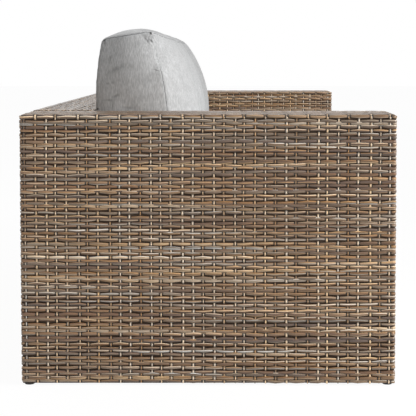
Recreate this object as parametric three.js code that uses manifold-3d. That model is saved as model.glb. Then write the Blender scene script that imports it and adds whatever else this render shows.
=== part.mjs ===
// A three-seat garden sofa: woven arms, back and apron over square tube frames, with loose cushions.
// Millimetres, +Z up, the front towards -Y, the origin on the floor under the middle of the sofa.
import * as THREE from 'three';
import { ConvexGeometry } from 'three/addons/geometries/ConvexGeometry.js';
import { RoundedBoxGeometry } from 'three/addons/geometries/RoundedBoxGeometry.js';
import { mergeVertices } from 'three/addons/utils/BufferGeometryUtils.js';
import Module from 'manifold-3d';

const wasm = await Module();
wasm.setup();

// Whole sofa
const sofaLength = 2160;
const sofaDepth = 890;
const armHeight = 645;
const armWidth = 210;
const backDepth = 152;
const deckHeight = 305;
const floorGap = 5; // the weave's lower edge above the floor
const seatCount = 3;
const fitGap = 0.3; // between pieces that touch

// Woven skins
const skinThick = 5;
const skinRadius = 9; // where strands bend round a corner
const skinRadiusSteps = 2;
const apronSetback = 10; // behind the arms' fronts
const apronReturn = 35; // of the apron's weave, back over the front rail
const cutOverrun = 30; // past a face, so that cuts go through

// Square tube frames
const tubeSize = 25;
const tubeWall = 1.6;
const lowRailHeight = 30; // of the back's bottom rail, above the floor

// Glides
const glideRadius = 12;
const glideThick = 5.7;
const glidePlugLength = 14;
const glideEdge = 1.2; // chamfer round the foot

// Bolts between the seat frame and the arms
const boltRadius = 4;
const boltClearance = 0.4;
const boltHeadRadius = 7.2;
const boltHeadThick = 5;

// Seat cushions
const seatCushionThick = 125; // at its seams
const seatCushionCrown = 14; // of the top, above its seams
const seatCushionSetback = 6; // behind the apron's face
const cushionSideGap = 5; // between cushions, and to the arms
const seatDrawIn = 9; // of the sides, between the corners
const seatSoftEdge = 26; // rounding of the front and the seams

// Back cushions
const backCushionHeight = 374; // at the rear corners
const backCushionRise = 20; // of the front corners above the rear ones
const backCushionCrown = 25; // of the top, above its seams
const backCushionFoot = 196; // thickness of the ends at the bottom
const backCushionHead = 124; // thickness of the ends at the top
const backCushionBulge = 88; // of the front, in the middle
const backDrawIn = 10; // of the ends, between the corners
const backSoftEdge = 8; // rounding of the seams

const roundSteps = 24; // sides of a round piece

// Faces of the cushions' meshes: across, from front to back, and up
const seatCushionFaces = [12, 12, 4];
const backCushionFaces = [12, 6, 10];

const halfLength = sofaLength / 2;
const halfDepth = sofaDepth / 2;
const armInner = halfLength - armWidth;
const seatHalf = armInner - fitGap;
const backFront = halfDepth - backDepth;
const seatFront = -halfDepth + apronSetback;
const seatWidth = 2 * armInner / seatCount;
const railTop = deckHeight - skinThick - fitGap;
const railMiddle = railTop - tubeSize / 2;
const skinInset = skinThick + fitGap; // from a face to the tubes behind its skin
const tubeInset = skinInset + tubeSize / 2; // from a face to the tube's middle

const weave = new THREE.MeshStandardMaterial({ color: 0x8a7058, roughness: 0.55, metalness: 0 });
const webbing = new THREE.MeshStandardMaterial({ color: 0x3a3632, roughness: 0.8, metalness: 0 });
const coatedTube = new THREE.MeshStandardMaterial({ color: 0x4a3f36, roughness: 0.45, metalness: 0.6 });
const plastic = new THREE.MeshStandardMaterial({ color: 0x1d1b1a, roughness: 0.6, metalness: 0 });
const steel = new THREE.MeshStandardMaterial({ color: 0xa7a9ab, roughness: 0.35, metalness: 1 });
const cloth = new THREE.MeshStandardMaterial({ color: 0xc4c6c8, roughness: 0.9, metalness: 0 });

const sofa = new THREE.Group();
const axes = ['x', 'y', 'z'];

function addMesh(name, geometry, material, place = [0, 0, 0]) {
  const mesh = new THREE.Mesh(geometry, material);
  mesh.name = name;
  mesh.position.set(...place);
  sofa.add(mesh);
  return mesh;
}

function solidOf(geometry) {
  const bare = geometry.clone();
  bare.deleteAttribute('normal');
  bare.deleteAttribute('uv');
  const merged = mergeVertices(bare);
  return new wasm.Manifold(new wasm.Mesh({
    numProp: 3,
    vertProperties: new Float32Array(merged.attributes.position.array),
    triVerts: new Uint32Array(merged.index.array),
  }));
}

function geometryOf(solid) {
  const mesh = solid.getMesh();
  const geometry = new THREE.BufferGeometry();
  geometry.setAttribute('position', new THREE.BufferAttribute(mesh.vertProperties, mesh.numProp));
  geometry.setIndex(new THREE.BufferAttribute(mesh.triVerts, 1));
  geometry.computeVertexNormals();
  return geometry;
}

function boxBetween(low, high) {
  const size = low.map((value, k) => high[k] - value);
  const box = new THREE.BoxGeometry(...size);
  box.translate(...low.map((value, k) => value + size[k] / 2));
  return box;
}

// A woven box, open below: round outside, square inside where the tubes lie
function wovenShell(low, high) {
  const deep = [low[0], low[1], low[2] - cutOverrun - skinRadius];
  const size = deep.map((value, k) => high[k] - value);
  const outside = new RoundedBoxGeometry(...size, skinRadiusSteps, skinRadius);
  outside.translate(...deep.map((value, k) => value + size[k] / 2));
  const inside = boxBetween(
    [low[0] + skinThick, low[1] + skinThick, deep[2] - cutOverrun],
    high.map((value) => value - skinThick),
  );
  return solidOf(outside).subtract(solidOf(inside));
}

// The part of a shell behind one face. An edge is [place, mitred]: cut at 45 degrees or straight.
function mitreWedge(axis, face, side, edges) {
  const others = [0, 1, 2].filter((k) => k !== axis);
  const mitreGap = fitGap / Math.SQRT2;
  const points = [];
  for (const reach of [cutOverrun, -skinThick * 2]) {
    for (const first of [0, 1]) {
      for (const second of [0, 1]) {
        const point = [0, 0, 0];
        point[axis] = face + side * reach;
        [first, second].forEach((end, n) => {
          const [place, mitred] = edges[n][end];
          const outwards = end ? 1 : -1;
          point[others[n]] = mitred ? place + outwards * (reach - mitreGap) : place;
        });
        points.push(new THREE.Vector3(...point));
      }
    }
  }
  return solidOf(new ConvexGeometry(points));
}

function addSkin(name, shell, axis, face, side, edges, holes = []) {
  let solid = shell.intersect(mitreWedge(axis, face, side, edges));
  for (const hole of holes) solid = solid.subtract(hole);
  addMesh(name, geometryOf(solid), weave);
}

// A square tube along one axis, from low to high there, with its middle at the other two
function tubeGeometry(axis, low, high) {
  const half = tubeSize / 2;
  const bore = half - tubeWall;
  const outline = new THREE.Shape([
    new THREE.Vector2(-half, -half), new THREE.Vector2(half, -half),
    new THREE.Vector2(half, half), new THREE.Vector2(-half, half),
  ]);
  outline.holes.push(new THREE.Path([
    new THREE.Vector2(-bore, -bore), new THREE.Vector2(-bore, bore),
    new THREE.Vector2(bore, bore), new THREE.Vector2(bore, -bore),
  ]));
  const geometry = new THREE.ExtrudeGeometry(outline, { depth: high - low, bevelEnabled: false });
  geometry.translate(0, 0, low);
  if (axis === 'x') geometry.rotateY(Math.PI / 2);
  if (axis === 'y') geometry.rotateX(-Math.PI / 2);
  return geometry;
}

function addTube(name, axis, low, high, middle, holes = []) {
  const place = axes.map((letter) => (letter === axis ? 0 : middle[letter]));
  if (!holes.length) return addMesh(name, tubeGeometry(axis, low, high), coatedTube, place);
  const geometry = tubeGeometry(axis, low, high);
  geometry.translate(...place);
  let solid = solidOf(geometry);
  for (const hole of holes) solid = solid.subtract(hole);
  return addMesh(name, geometryOf(solid), coatedTube);
}

// Bolts run across the sofa from inside each arm, through its inner post and skin into the side rail
const postFront = -halfDepth + tubeInset;
const postRear = halfDepth - tubeInset;
const railFront = seatFront + skinInset;
const boltPlaces = {
  front: (postFront + tubeSize / 2 + railFront) / 2,
  rear: postRear,
};
const sideRail = seatHalf - tubeSize / 2;
const boltSeat = armInner + skinInset + tubeSize + fitGap; // the underside of its head

function boltHole(sign, y) {
  const outer = boltSeat + cutOverrun;
  const hole = new THREE.CylinderGeometry(
    boltRadius + boltClearance, boltRadius + boltClearance, outer - sideRail, roundSteps,
  );
  hole.rotateZ(Math.PI / 2);
  hole.translate(sign * (sideRail + outer) / 2, y, railMiddle);
  return solidOf(hole);
}

function addBolt(name, sign, y) {
  const shank = boltSeat - sideRail;
  const profile = [
    [0, 0], [boltRadius, 0], [boltRadius, shank], [boltHeadRadius, shank],
    [boltHeadRadius, shank + boltHeadThick], [0, shank + boltHeadThick],
  ].map(([radius, along]) => new THREE.Vector2(radius, along));
  const bolt = new THREE.LatheGeometry(profile, roundSteps);
  const mesh = addMesh(name, bolt, steel, [sign * sideRail, y, railMiddle]);
  mesh.rotation.z = -sign * Math.PI / 2;
}

function addGlide(name, x, y) {
  const plug = tubeSize / 2 - tubeWall - fitGap;
  const top = glideThick + glidePlugLength;
  const profile = [
    [0, 0], [glideRadius - glideEdge, 0], [glideRadius, glideEdge],
    [glideRadius, glideThick], [plug, glideThick], [plug, top], [0, top],
  ].map(([radius, height]) => new THREE.Vector2(radius, height));
  const mesh = addMesh(name, new THREE.LatheGeometry(profile, roundSteps), plastic, [x, y, 0]);
  mesh.rotation.x = Math.PI / 2;
}

// Arms
const postLow = glideThick + fitGap;
const topRailMiddle = armHeight - tubeInset;
const postHigh = topRailMiddle - tubeSize / 2 - fitGap;
for (const [side, sign] of [['left', -1], ['right', 1]]) {
  const outer = sign * halfLength;
  const inner = sign * armInner;
  const [lowX, highX] = [Math.min(outer, inner), Math.max(outer, inner)];
  const shell = wovenShell([lowX, -halfDepth, floorGap], [highX, halfDepth, armHeight]);
  const upright = [[floorGap, false], [armHeight, true]];
  const across = [[lowX, true], [highX, true]];
  const along = [[-halfDepth, true], [halfDepth, true]];
  const holes = Object.values(boltPlaces).map((y) => boltHole(sign, y));
  addSkin(`${side}_arm_outer_weave`, shell, 0, outer, sign, [along, upright]);
  addSkin(`${side}_arm_inner_weave`, shell, 0, inner, -sign, [along, upright], holes);
  addSkin(`${side}_arm_front_weave`, shell, 1, -halfDepth, -1, [across, upright]);
  addSkin(`${side}_arm_rear_weave`, shell, 1, halfDepth, 1, [across, upright]);
  addSkin(`${side}_arm_top_weave`, shell, 2, armHeight, 1, [across, along]);

  const outerX = sign * (halfLength - tubeInset);
  const innerX = sign * (armInner + tubeInset);
  const postHoles = { front: [holes[0]], rear: [holes[1]] };
  for (const [end, y] of [['front', postFront], ['rear', postRear]]) {
    addTube(`${side}_arm_${end}_outer_post`, 'z', postLow, postHigh, { x: outerX, y });
    addTube(`${side}_arm_${end}_inner_post`, 'z', postLow, postHigh, { x: innerX, y }, postHoles[end]);
    addGlide(`${side}_${end}_outer_glide`, outerX, y);
    addGlide(`${side}_${end}_inner_glide`, innerX, y);
    const tieReach = armWidth / 2 - tubeInset - tubeSize / 2 - fitGap;
    const tieMiddle = sign * (halfLength - armWidth / 2);
    addTube(
      `${side}_arm_${end}_top_tie`, 'x', tieMiddle - tieReach, tieMiddle + tieReach,
      { y, z: topRailMiddle },
    );
    addBolt(`${side}_${end}_frame_bolt`, sign, boltPlaces[end]);
  }
  const railReach = halfDepth - skinInset;
  addTube(`${side}_arm_top_outer_rail`, 'y', -railReach, railReach, { x: outerX, z: topRailMiddle });
  addTube(`${side}_arm_top_inner_rail`, 'y', -railReach, railReach, { x: innerX, z: topRailMiddle });
  addTube(
    `seat_${side}_rail`, 'y', railFront, halfDepth - skinInset,
    { x: sign * sideRail, z: railMiddle }, holes,
  );
}

// Back
const backEnds = [[-seatHalf, false], [seatHalf, false]];
const backShell = wovenShell(
  [-armInner - cutOverrun, backFront, floorGap], [armInner + cutOverrun, halfDepth, armHeight],
);
addSkin('back_rear_weave', backShell, 1, halfDepth, 1, [backEnds, [[floorGap, false], [armHeight, true]]]);
addSkin('back_top_weave', backShell, 2, armHeight, 1, [backEnds, [[backFront, true], [halfDepth, true]]]);
addSkin('back_front_weave', backShell, 1, backFront, -1, [
  backEnds, [[railTop + fitGap, false], [armHeight, true]],
]);
const lowRailMiddle = lowRailHeight + tubeSize / 2;
addTube('back_top_rear_rail', 'x', -seatHalf, seatHalf, { y: postRear, z: topRailMiddle });
addTube('back_top_front_rail', 'x', -seatHalf, seatHalf, { y: backFront + tubeInset, z: topRailMiddle });
addTube('back_bottom_rail', 'x', -seatHalf, seatHalf, { y: postRear, z: lowRailMiddle });

// Seat frame: front and rear rails between the side rails, then a cross bar under each join of the cushions
const railLow = railFront + tubeSize + fitGap;
const rearRail = backFront - fitGap - tubeSize / 2;
const railEnd = seatHalf - tubeSize - fitGap;
addTube('seat_front_rail', 'x', -railEnd, railEnd, { y: railFront + tubeSize / 2, z: railMiddle });
addTube('seat_rear_rail', 'x', -railEnd, railEnd, { y: rearRail, z: railMiddle });
for (let seat = 1; seat < seatCount; seat += 1) {
  const x = -armInner + seat * seatWidth;
  const barHigh = rearRail - tubeSize / 2 - fitGap;
  addTube(`seat_cross_bar_${seat}`, 'y', railLow, barHigh, { x, z: railMiddle });
  const postBase = lowRailMiddle + tubeSize / 2 + fitGap;
  addTube(`back_middle_post_${seat}`, 'z', postBase, postHigh, { x, y: postRear });
}

// Apron, with its return over the front rail, and the webbing deck behind it
const seatShell = wovenShell(
  [-armInner - cutOverrun, seatFront, floorGap], [armInner + cutOverrun, halfDepth, deckHeight],
);
const apron = seatShell.intersect(solidOf(boxBetween(
  [-seatHalf, seatFront, floorGap], [seatHalf, seatFront + apronReturn, deckHeight],
)));
addMesh('front_apron_weave', geometryOf(apron), weave);
addMesh('seat_deck_webbing', boxBetween(
  [-seatHalf, seatFront + apronReturn + fitGap, deckHeight - skinThick],
  [seatHalf, backFront - fitGap, deckHeight],
), webbing);

const hump = (value) => 1 - value * value; // 1 in the middle, 0 at -1 and 1

// A box mesh with its corners at -1 and 1, each point then moved by shape(across, depth, up)
function softBox(faces, shape) {
  const box = mergeVertices((() => {
    const plain = new THREE.BoxGeometry(2, 2, 2, ...faces);
    plain.deleteAttribute('normal');
    plain.deleteAttribute('uv');
    return plain;
  })());
  const points = box.attributes.position;
  for (let n = 0; n < points.count; n += 1) {
    points.setXYZ(n, ...shape(points.getX(n), points.getY(n), points.getZ(n)));
  }
  box.computeVertexNormals();
  return box;
}

// How far a point near a seam is drawn towards the middle, for a soft edge
function softEdge(value, other, share) {
  const near = Math.max(0, (Math.abs(value) - 1 + share) / share);
  const far = Math.max(0, (Math.abs(other) - 1 + share) / share);
  return near * near * far * far;
}

const seatCushionWidth = seatWidth - cushionSideGap;
const seatCushionFront = seatFront + seatCushionSetback;
const seatCushionRear = backFront - fitGap;
const seatCushionDepth = seatCushionRear - seatCushionFront;
const cushionBase = deckHeight + fitGap;
const softShare = 0.3;

function seatCushionPoint(across, back, up) {
  const rise = seatCushionCrown * hump(across) * (1 - back ** 4);
  const sides = seatDrawIn * hump(back) * up ** 2 * Math.abs(across) ** 3;
  const edge = seatSoftEdge * softEdge(Math.min(back, 0), up, softShare);
  return [
    across * (seatCushionWidth / 2 - sides),
    (seatCushionFront + seatCushionRear) / 2 + back * seatCushionDepth / 2 + edge,
    cushionBase + (up + 1) / 2 * (seatCushionThick + rise - edge / 2),
  ];
}

const backCushionWidth = seatWidth - cushionSideGap;
const backCushionRear = backFront - fitGap;
const backCushionBase = cushionBase + seatCushionThick + seatCushionCrown + fitGap;

function backCushionPoint(across, back, up) {
  const rise = (up + 1) / 2;
  const depth = (1 - back) / 2; // 0 at the rear, 1 at the front
  const foot = backCushionFoot;
  const endThick = foot + (backCushionHead - foot) * rise ** 2.2;
  const bulge = backCushionBulge * hump(across) * Math.sin(Math.PI * (0.2 + 0.55 * rise)) ** 0.8;
  const height = backCushionHeight + backCushionRise * depth
    + backCushionCrown * hump(across) * hump(back) * (rise > 0.5 ? (rise - 0.5) * 2 : 0);
  const drawIn = backDrawIn * hump(up) * Math.abs(across) ** 3;
  const edge = backSoftEdge * softEdge(Math.max(up, 0), back, softShare);
  return [
    across * (backCushionWidth / 2 - drawIn),
    backCushionRear - depth * (endThick + bulge) - (back > 0 ? edge * 0.5 : -edge * 0.5),
    backCushionBase + rise * height - edge * 0.5,
  ];
}

for (let seat = 0; seat < seatCount; seat += 1) {
  const x = -armInner + (seat + 0.5) * seatWidth;
  const name = ['left', 'middle', 'right'][seat];
  addMesh(`${name}_seat_cushion`, softBox(seatCushionFaces, seatCushionPoint), cloth, [x, 0, 0]);
  addMesh(`${name}_back_cushion`, softBox(backCushionFaces, backCushionPoint), cloth, [x, 0, 0]);
}

export default sofa;
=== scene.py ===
import math

import bmesh
import bpy
import numpy as np
from mathutils import Matrix, Vector


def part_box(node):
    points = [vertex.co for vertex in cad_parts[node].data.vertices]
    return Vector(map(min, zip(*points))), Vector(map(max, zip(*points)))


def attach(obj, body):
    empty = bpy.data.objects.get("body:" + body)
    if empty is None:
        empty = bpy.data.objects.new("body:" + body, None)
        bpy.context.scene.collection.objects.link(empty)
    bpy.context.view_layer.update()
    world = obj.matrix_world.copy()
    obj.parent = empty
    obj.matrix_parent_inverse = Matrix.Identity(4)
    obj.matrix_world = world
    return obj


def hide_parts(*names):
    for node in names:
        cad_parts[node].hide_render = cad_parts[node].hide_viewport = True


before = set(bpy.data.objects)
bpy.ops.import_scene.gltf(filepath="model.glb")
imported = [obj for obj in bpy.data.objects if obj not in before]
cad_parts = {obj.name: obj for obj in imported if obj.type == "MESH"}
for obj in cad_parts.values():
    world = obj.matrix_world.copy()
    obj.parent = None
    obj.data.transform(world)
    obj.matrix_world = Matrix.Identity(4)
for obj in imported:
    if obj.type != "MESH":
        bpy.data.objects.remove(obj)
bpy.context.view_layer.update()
scene = bpy.context.scene
print("frame loaded:", len(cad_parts), "solids")


class Flow:  # a socket's value, so that shader maths reads as plain sums
    def __init__(self, finish, socket):
        self.finish = finish
        self.socket = socket

    def other(self, name):  # another output of the same node
        return Flow(self.finish, self.socket.node.outputs[name])

    def maths(self, operation, *others):
        return self.finish.maths(operation, self, *others)

    def __add__(self, other):
        return self.maths("ADD", other)

    def __sub__(self, other):
        return self.maths("SUBTRACT", other)

    def __rsub__(self, other):
        return self.finish.maths("SUBTRACT", other, self)

    def __mul__(self, other):
        return self.maths("MULTIPLY", other)

    __radd__, __rmul__ = __add__, __mul__

    def within(self):  # held between 0 and 1
        return self.finish.node("ShaderNodeClamp", {}, {"Value": self})

    def step(self, low, high):  # a soft step from 0 at low to 1 at high
        return self.finish.node(
            "ShaderNodeMapRange", {"interpolation_type": "SMOOTHSTEP"},
            {"Value": self, "From Min": low, "From Max": high})


class Finish:  # the nodes of a material, or of the world
    def __init__(self, owner, shader="Principled BSDF", **constants):
        owner.use_nodes = True
        self.owner = owner
        self.tree = owner.node_tree
        self.shader = self.tree.nodes[shader]
        self.feed(self.shader, {name.replace("_", " "): value for name, value in constants.items()})

    def feed(self, node, sockets):
        for name, value in sockets.items():
            if isinstance(value, Flow):
                self.tree.links.new(value.socket, node.inputs[name])
            else:
                node.inputs[name].default_value = value

    def node(self, kind, settings=None, sockets=None, out=0):
        made = self.tree.nodes.new(kind)
        for name, value in (settings or {}).items():
            if name == "stops":
                ramp = made.color_ramp
                ramp.elements.remove(ramp.elements[1])
                for order, (place, colour) in enumerate(value):
                    stop = ramp.elements.new(place) if order else ramp.elements[0]
                    stop.position = place
                    stop.color = (*colour, 1)
            else:
                setattr(made, name, value)
        self.feed(made, sockets or {})
        return Flow(self, made.outputs[out])

    def maths(self, operation, *values):
        return self.node("ShaderNodeMath", {"operation": operation}, dict(enumerate(values)))

    def mix(self, share, first, second, blend="MIX"):
        return self.node(
            "ShaderNodeMix", {"data_type": "RGBA", "blend_type": blend},
            {0: share, 6: first, 7: second}, out=2)

    def darken(self, colour, shade):  # a colour times a grey
        grey = self.node("ShaderNodeCombineColor", {}, {"Red": shade, "Green": shade, "Blue": shade})
        return self.mix(1.0, colour, grey, "MULTIPLY")

    def noise(self, place, scale, detail=2.0, roughness=0.5):
        return self.node(
            "ShaderNodeTexNoise", {},
            {"Vector": place, "Scale": scale, "Detail": detail, "Roughness": roughness})

    def bump(self, height, strength, distance):
        return self.node(
            "ShaderNodeBump", {}, {"Height": height, "Strength": strength, "Distance": distance})

    def attribute(self, name):
        return self.node("ShaderNodeAttribute", {"attribute_name": name}, {}, out="Fac")

    def objectPlace(self):
        return self.node("ShaderNodeTexCoord", {}, {}, out="Object")

    def strandPlace(self):  # length along a strand, its number plus the share round it, and its number
        spot = self.node("ShaderNodeUVMap", {"uv_map": "strand"})
        along = self.node("ShaderNodeSeparateXYZ", {}, {"Vector": spot})
        coded = along.other("Y")
        return along, coded, coded.maths("FLOOR")


def gridBox(cells):
    # A closed box from -1 to 1 of square-ish cells
    box = bmesh.new()
    bmesh.ops.create_cube(box, size=2)
    for axis, count in enumerate(cells):
        runs = [edge for edge in box.edges if abs(edge.verts[0].co[axis] - edge.verts[1].co[axis]) > 1e-4]
        bmesh.ops.subdivide_edges(box, edges=runs, cuts=count - 1)
    return box


def meshOf(name, shape):
    mesh = bpy.data.meshes.new(name)
    shape.to_mesh(mesh)
    shape.free()
    return mesh


def addObject(name, data):
    made = bpy.data.objects.new(name, data)
    scene.collection.objects.link(made)
    return made


def evaluated(piece):
    return piece.evaluated_get(bpy.context.evaluated_depsgraph_get())


def vectors(source, name):
    values = np.empty(len(source) * 3, np.float32)
    source.foreach_get(name, values)
    return values.reshape(-1, 3).astype(float)


def integers(source, name):
    values = np.empty(len(source), int)
    source.foreach_get(name, values)
    return values


def places3d(mesh):
    return vectors(mesh.vertices, "co")


def movePlaces(mesh, points):
    mesh.vertices.foreach_set("co", points.astype(np.float32).ravel())
    mesh.update()


def cornerPoints(mesh):  # the point at each corner of each face
    return integers(mesh.loops, "vertex_index")


def addMap(mesh, title, values):
    mesh.uv_layers.new(name=title).uv.foreach_set("vector", values.astype(np.float32).ravel())


def addValues(mesh, title, values):
    mesh.attributes.new(title, "FLOAT", "POINT").data.foreach_set("value", values.astype(np.float32))


def inset(share, margin):  # a share from 0 to 1, moved in from both ends
    return margin + (1 - 2 * margin) * share


# Woven resin strands

wicker = {
    "weaverWidth": 0.0079, "weaverThick": 0.0018, "widths": (0.84, 1.2), "rowPitch": 0.00809,
    "stakeWidth": 0.0036, "stakeThick": 0.0015, "stakeWidths": (0.7, 1.3), "stakeJitter": 0.0028,
    "sides": 6, "flatness": 0.65,  # of a strand's section
    "dipHalf": 0.0037, "dipTop": 0.0068,  # half widths of a dip, at its bottom and its top
    "dipHeight": -0.0034, "slopeHeight": -0.0012, "crestHeight": -0.001,  # of a weaver's middle
    "shares": (0.72, 0.86, 1.02),  # of a weaver's width, at the same three heights
    "stakeHigh": -0.0014, "stakeLow": -0.003,  # of a stake's middle
    "stakeDipShade": 1.5,  # how dark the painted shade is on a stake where it runs low under a weaver
    "rowJitter": 0.0016, "liftJitter": 0.0004, "tilt": 0.12,
    "wave": 0.0008, "wander": 0.0007, "sway": 0.0011, "stakeSeed": 11,
}
rowWaves = ((27, 2.4, 1.0), (61, 4.1, 0.7), (133, 5.3, 0.7))  # rate along a row, shift for each row, share
wanderWaves = ((9.1, 1.3, 1.0), (17, 43, 0.6))  # rate along v, rate along u, share
swayWave = (5.3, 6.1, 0.8)  # rate along u, rate along v, shift
wickerColours = {
    "strands": [  # stops along each strand's random pick
        (0.0, (0.113, 0.069, 0.045)), (0.16, (0.166, 0.102, 0.063)), (0.34, (0.242, 0.154, 0.088)),
        (0.5, (0.314, 0.19, 0.09)), (0.62, (0.386, 0.256, 0.138)), (0.8, (0.52, 0.393, 0.254)),
        (1.0, (0.785, 0.682, 0.532)),
    ],
    "warm": (1.21, 0.97, 0.69), "cool": (0.89, 1.01, 1.24),  # tints at the ends of the slow change of hue
    "own": 0.34, "base": 0.31, "drift": 1.0, "vein": 0.95, "veinMiddle": 0.3,  # what a weaver's pick adds up
    "stakeOwn": 0.9, "stakeBase": 0.52,
    "stakeDrift": 0.7, "stakeVein": 0.5, "stakeHue": 0.3,  # how much less these change on a stake
    # the last key below: strength of the painted shade where a strand dips under another
    "bright": 1.33, "streak": 0.55, "fine": 0.7, "leastShade": 0.2, "dipShadeStrength": 0.92,
    "edge": 0.62, "edgeShadeShift": 0.22, "edgeShadeStep": (0.18, 0.32),  # the darker lower edge of a weaver, painted shade for light from above and partly a two-tone strand
    "roughness": 0.3, "roughSpread": 0.2, "bump": 0.35, "bumpDepth": 0.0004, "bumpFine": 0.4,
}
wickerNoise = {  # scale along a strand, scale round it, detail, offset, and the soft step taken, if any
    "drift": (1.5, 0.5, 2.0, 0.3, None), "vein": (2.0, 7.0, 1.0, 5.2, (0.42, 0.74)),
    "streak": (10.0, 14.0, 2.0, 7.9, (0.3, 0.7)), "fine": (30.0, 48.0, 2.0, 9.4, None),
    "hue": (1.4, 2.0, 2.0, 12.6, (0.32, 0.68)), "apart": 3.71,  # the last: from strand to strand
}
# a thin dark sheet behind the weave, painted shade standing in for the shadow in its gaps
shadeSheet = {
    "back": -0.0047, "thick": 0.0004, "top": 0.639, "cell": 0.0035,
    "corner": 0.0024, "cornerReach": 0.0045,  # how far it comes forward where two faces meet
    "past": 0.0025,  # beyond the flat of a top
    "grain": 300.0, "dark": (0.076, 0.053, 0.041), "light": (0.143, 0.104, 0.08),
}
armSize = {
    "middle": 0.975, "width": 0.21, "depth": 0.89, "high": 0.645, "low": 0.005, "round": 0.009,
    "overlap": 0.0058, "longStakes": 36, "shortStakes": 8,
    "topMargin": 0.0012, "flatShort": 0.006, "leastReach": 0.2,  # of the top's rows near its corners
}
backSize = {
    "front": 0.293, "rear": 0.445, "half": 0.8697, "frontLow": 0.3003, "high": 0.6465, "round": 0.005,
    "stakes": 70,
}
apronSize = {"face": -0.435, "edge": -0.4003, "high": 0.304}
stakeMargin = 0.0002  # a stake's ends stay this far inside the face's edges
strandCodes = {  # number of the first strand, and seed
    "left": (0, 21), "leftTop": (80, 22), "right": (150, 21), "rightTop": (230, 22), "backRear": (300, 31),
    "backTop": (380, 32), "backFront": (410, 33), "apron": (460, 41), "deck": (600, 51),
}
stakeNumbers = 1000  # added to the number of a stake
mapMargins = {"ends": 0.002, "strand": 0.02, "slot": 0.04, "shadeSheet": 0.1}  # kept free round a strand's maps
tubeSpread = 10  # between the tubes before they are laid


def tracePath(start, heading, moves):
    # A flat path of (straight, radius, turn to the left), sampled: length, place, outward direction
    lengths, places, headings = [0.0], [np.array(start, float)], [heading]

    def go(distance, turn):
        middle = headings[-1] + turn / 2
        places.append(places[-1] + distance * np.array([math.cos(middle), math.sin(middle)]))
        lengths.append(lengths[-1] + distance)
        headings.append(headings[-1] + turn)

    for straight, radius, turn in moves:
        if straight:
            go(straight, 0.0)
        steps = round(math.degrees(turn) / 5)
        for _ in range(steps):
            go(radius * turn / steps, turn / steps)
    headings = np.array(headings)
    return np.array(lengths), np.array(places), np.stack([np.sin(headings), -np.cos(headings)], 1)


def alongPath(path, length, height):
    lengths, places, outward = path
    return [np.interp(length, lengths, places[:, k]) + height * np.interp(length, lengths, outward[:, k])
            for k in (0, 1)]


def spaced(stations, keep, least=0.0009):
    # Sorted stations, those nearer than least to a kept one left out
    chosen = list(keep)
    for station in stations:
        if min(abs(station - other) for other in chosen) > least:
            chosen.append(station)
    return np.array(sorted(chosen))


def strandGroups(look, rows, stakes, rowSpan, stakeSpan, firstNumber, seed,
                 rowBends=(), stakeBends=(), firstStake=0):
    # The middle lines of the weavers, which run along u at the rows, and the stakes, which run along v
    chance = np.random.default_rng(seed)
    rows, stakes = np.array(rows), np.array(stakes)
    rowOrder = np.arange(len(rows))
    stakeOrder = np.arange(len(stakes)) + firstStake
    shift = chance.uniform(-1, 1, len(rows)) * look["rowJitter"]
    lift = chance.uniform(-1, 1, len(rows)) * look["liftJitter"]
    width = chance.uniform(*look["widths"], len(rows)) * look["weaverWidth"]
    tilt = chance.normal(0, look["tilt"], len(rows))
    dip, slope, crest = look["dipHeight"], look["slopeHeight"], look["crestHeight"]
    half, top = look["dipHalf"], look["dipTop"]
    dips = [(-top, slope), (-half, dip), (half, dip), (top, slope)]
    groups = []
    for odd in (0, 1):
        picked = rowOrder[odd::2]
        keys = []
        for place, order in zip(stakes, stakeOrder):
            steps = dips if (order + odd) % 2 else [(0, crest)]
            keys += [(place + step, level) for step, level in steps]
        at, heights = np.array(keys).T
        stations = spaced([*at[(at > rowSpan[0]) & (at < rowSpan[1])], *rowBends], rowSpan)
        height = np.interp(stations, at, heights)
        # how far the weaver dips below its slope, which sets its painted shade
        dipShade = np.clip((slope - height) / (slope - dip), 0, 1)
        along = np.tile(stations, (len(picked), 1))
        number = (firstNumber + picked)[:, None]
        wave = sum(share * np.sin(rate * along + step * number) for rate, step, share in rowWaves)
        groups.append({
            "along": along, "side": rows[picked, None] + shift[picked, None] + look["wave"] * wave,
            "height": height + lift[picked, None], "thick": look["weaverThick"],
            "width": width[picked, None] * np.interp(height, [dip, slope, crest], look["shares"]),
            "dipShade": np.tile(dipShade, (len(picked), 1)), "tilt": tilt[picked],
            "number": firstNumber + picked, "upright": False,
        })
    for odd in (0, 1):
        picked = np.arange(len(stakes))[odd::2]
        over = (rowOrder + stakeOrder[odd]) % 2 == 1
        stations = spaced([*rows, *stakeBends], stakeSpan)
        height = np.interp(stations, rows, np.where(over, look["stakeHigh"], look["stakeLow"]))
        # painted shade on a stake where it runs low under a weaver
        dipShade = np.interp(stations, rows, np.where(over, 0.0, look["stakeDipShade"]))
        wide = chance.uniform(*look["stakeWidths"], (len(picked), 1)) * look["stakeWidth"]
        groups.append({
            "along": np.tile(stations, (len(picked), 1)),
            "side": np.tile(stakes[picked, None], (1, len(stations))),
            "height": np.tile(height, (len(picked), 1)), "thick": look["stakeThick"],
            "width": np.tile(wide, (1, len(stations))),
            "dipShade": np.tile(dipShade, (len(picked), 1)), "tilt": chance.normal(0, look["tilt"], len(picked)),
            "number": stakeNumbers + firstNumber + stakeOrder[picked], "upright": True,
        })
    return groups


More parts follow.
